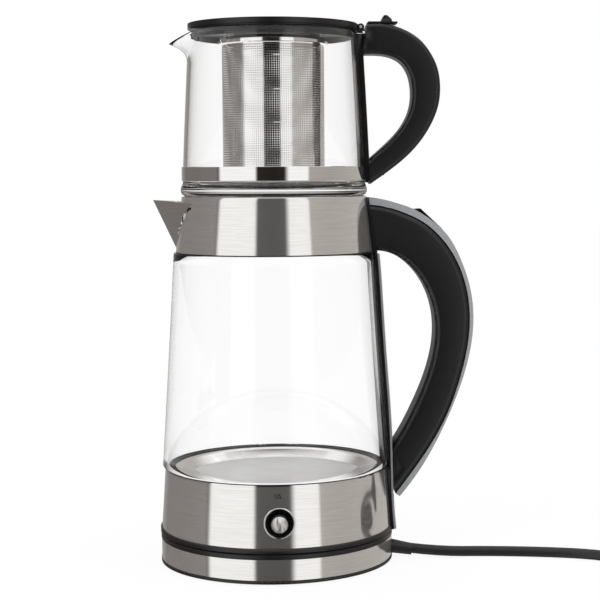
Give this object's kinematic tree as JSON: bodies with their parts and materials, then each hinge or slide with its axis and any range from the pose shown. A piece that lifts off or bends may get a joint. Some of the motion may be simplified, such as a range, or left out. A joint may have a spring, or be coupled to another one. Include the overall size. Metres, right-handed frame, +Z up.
{
  "type": "electric tea maker",
  "caption": "Cordless glass kettle on a round power base with a glass teapot and steel infuser standing on its lid, front push button and two loop handles.",
  "frame": {"origin": "on the table under the kettle's axis, at the middle of the base's centre pad", "axes": "+Z up along the kettle's axis, +X towards the handles, -X towards the spouts, -Y towards the power button"},
  "size_m": [0.4015, 0.1838, 0.365],
  "materials": {
    "steel": "satin to bright stainless sheet",
    "chrome": "bright ring round the button",
    "black_plastic": "black, satin",
    "grey_trim": "silver grey, satin",
    "black_gloss": "black, smooth",
    "kettle_glass": "clear",
    "pot_glass": "clear",
    "rubber": "matt",
    "aluminium": "cast, dull",
    "brass": "plain",
    "screws": "zinc plated",
    "cord": "black PVC",
    "plate": "pale stainless dish"
  },
  "bodies": {
    "base": {"base_tray": "black_plastic", "base_ring": "steel", "base_cover": "black_plastic", "base_feet": "rubber", "base_screws": "screws", "base_connector": "black_plastic", "base_contacts": "brass", "cord_gland": "cord", "cord_lead": "cord", "cord_coil": "cord", "plug_body": "cord", "plug_prongs": "screws"},
    "swivel": {"connector_sleeve": "black_plastic"},
    "kettle": {"kettle_underside": "black_plastic", "lower_shell": "steel", "kettle_socket": "black_plastic", "socket_contacts": "brass", "control_block": "black_plastic", "heating_element": "aluminium", "heat_spreader": "aluminium", "heating_plate": "plate", "lower_gasket": "rubber", "kettle_glass": "kettle_glass", "upper_gasket": "rubber", "collar": "steel", "kettle_spout": "steel", "spout_filter": "steel", "collar_liner": "black_plastic", "lid_pin": "screws", "button_bezel": "chrome", "button_well": "black_gloss", "micro_switch": "black_plastic", "button_spring": "screws", "handle_strap": "black_plastic", "strap_strip": "grey_trim", "handle_grip": "black_plastic", "handle_trim": "grey_trim", "release_pin": "screws", "handle_screws": "screws"},
    "kettle_lid": {"kettle_lid": "black_plastic", "lid_insert": "steel"},
    "power_button": {"power_button": "black_gloss", "button_cap": "steel"},
    "release_button": {"release_button": "black_gloss"},
    "pot": {"pot_glass": "pot_glass", "pot_glass_foot": "pot_glass", "pot_band": "steel", "pot_strap": "black_plastic", "pot_handle": "black_plastic", "clamp_screw": "screws"},
    "pot_slider": {"pot_slider": "black_plastic"},
    "pot_top": {"mouth_ring": "black_plastic", "pot_lid_pin": "screws"},
    "pot_lid": {"pot_lid": "black_plastic"},
    "infuser": {"infuser_neck": "steel", "infuser_basket": "steel", "infuser_floor": "steel"}
  },
  "joints": [
    {"name": "kettle_turn", "type": "hinge", "parent": "base", "child": "swivel", "pos_m": [0, 0, 0.0215], "axis": [0, 0, 1], "continuous": true},
    {"name": "kettle_lift", "type": "slide", "parent": "swivel", "child": "kettle", "axis": [0, 0, 1], "range_m": [0, 0.06]},
    {"name": "power_press", "type": "slide", "parent": "kettle", "child": "power_button", "axis": [0, 1, 0], "range_m": [0, 0.0025], "stiffness_N_per_m": 400, "springref_m": -0.004, "deforming": ["button_spring"]},
    {"name": "lid_release_press", "type": "hinge", "parent": "kettle", "child": "release_button", "pos_m": [0.1102, 0, 0.2219], "axis": [0, -1, 0], "range_deg": [0, 6], "stiffness_Nm_per_rad": 0.3, "springref_deg": -5.73},
    {"name": "pot_lift", "type": "slide", "parent": "kettle", "child": "pot", "axis": [0, 0, 1], "range_m": [0, 0.2]},
    {"name": "kettle_lid_open", "type": "hinge", "parent": "kettle", "child": "kettle_lid", "pos_m": [0.052, 0, 0.241], "axis": [0, 1, 0], "range_deg": [0, 80.3]},
    {"name": "pot_top_lift", "type": "slide", "parent": "pot", "child": "pot_top", "axis": [0, 0, 1], "range_m": [0, 0.1]},
    {"name": "pot_lid_open", "type": "hinge", "parent": "pot_top", "child": "pot_lid", "pos_m": [0.0581, 0, 0.3572], "axis": [0, 1, 0], "range_deg": [0, 90]},
    {"name": "infuser_turn", "type": "hinge", "parent": "pot_top", "child": "infuser", "pos_m": [0, 0, 0.347], "axis": [0, 0, 1], "range_deg": [0, 30]},
    {"name": "pot_lid_release", "type": "slide", "parent": "pot", "child": "pot_slider", "axis": [1, 0, 0], "range_m": [0, 0.003], "stiffness_N_per_m": 400, "springref_m": -0.003}
  ],
  "couplings": [
    {"joint": "kettle_lid_open", "follows": "pot_lift", "rad_per_m": 7}
  ]
}
